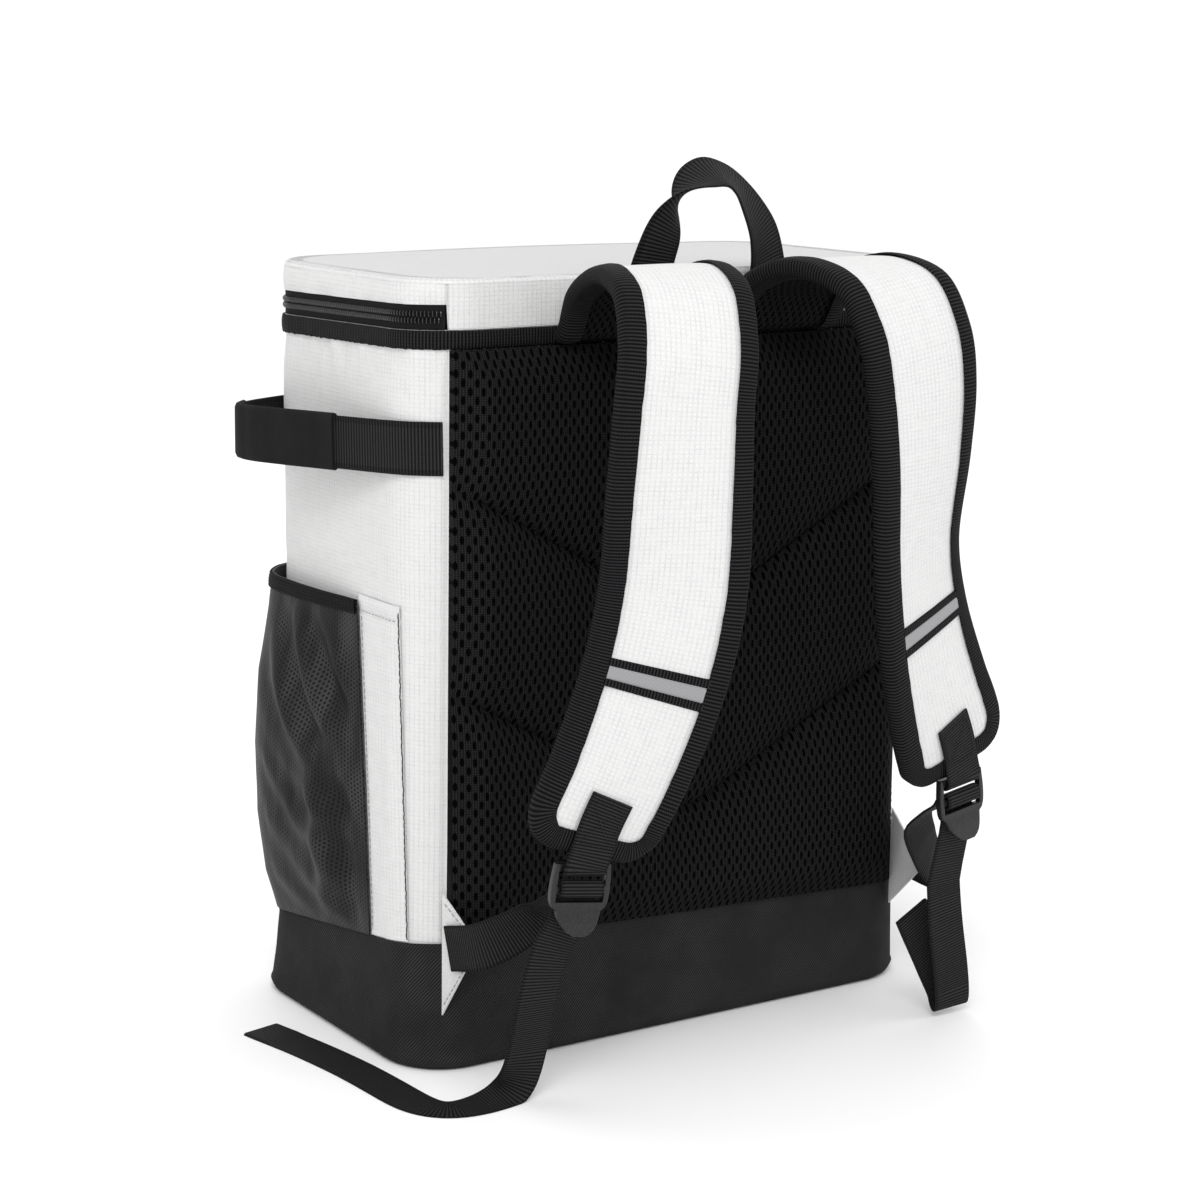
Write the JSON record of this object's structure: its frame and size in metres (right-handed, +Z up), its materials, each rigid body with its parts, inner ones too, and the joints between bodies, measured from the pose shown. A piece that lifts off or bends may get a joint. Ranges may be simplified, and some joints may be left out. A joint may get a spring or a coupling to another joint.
{
  "type": "soft cooler backpack",
  "caption": "Upright soft-sided cooler backpack with zipped lid, padded back, padded shoulder straps with ladder locks, grab and side handles and open side pockets.",
  "frame": {"origin": "centre of the flat base between the back face and the upper front face, on the surface it stands on", "axes": "+Z up; -Y out of the back that the wearer carries against, where the straps are; +X to the right when facing that back"},
  "size_m": [0.4276, 0.3165, 0.4955],
  "materials": {
    "white_cloth": "matte ripstop",
    "black_cloth": "matte oxford",
    "black_mesh": "matte spacer mesh",
    "black_webbing": "ribbed webbing",
    "black_plastic": "satin",
    "grey_reflector": "satin"
  },
  "bodies": {
    "root": {"body_shell": "white_cloth", "gusset_left": "white_cloth", "gusset_right": "white_cloth", "lid": "white_cloth", "side_strip_left": "white_cloth", "side_strip_right": "white_cloth", "strap_left": "white_cloth", "strap_right": "white_cloth", "base_boot": "black_cloth", "pocket_left": "black_cloth", "pocket_right": "black_cloth", "back_pad": "black_mesh", "adjuster_left": "black_webbing", "adjuster_right": "black_webbing", "grab_handle": "black_webbing", "handle_sleeve_left": "black_webbing", "handle_sleeve_right": "black_webbing", "pocket_elastic_left": "black_webbing", "pocket_elastic_right": "black_webbing", "rim_binding": "black_webbing", "side_handle_left": "black_webbing", "side_handle_right": "black_webbing", "strap_edging_left": "black_webbing", "strap_edging_right": "black_webbing", "strap_tab_left": "black_webbing", "strap_tab_right": "black_webbing", "zip_tape": "black_webbing", "ladder_lock_left": "black_plastic", "ladder_lock_right": "black_plastic", "zip_slider_left": "black_plastic", "zip_slider_right": "black_plastic", "zip_teeth": "black_plastic", "reflector_left": "grey_reflector", "reflector_right": "grey_reflector"}
  },
  "joints": []
}
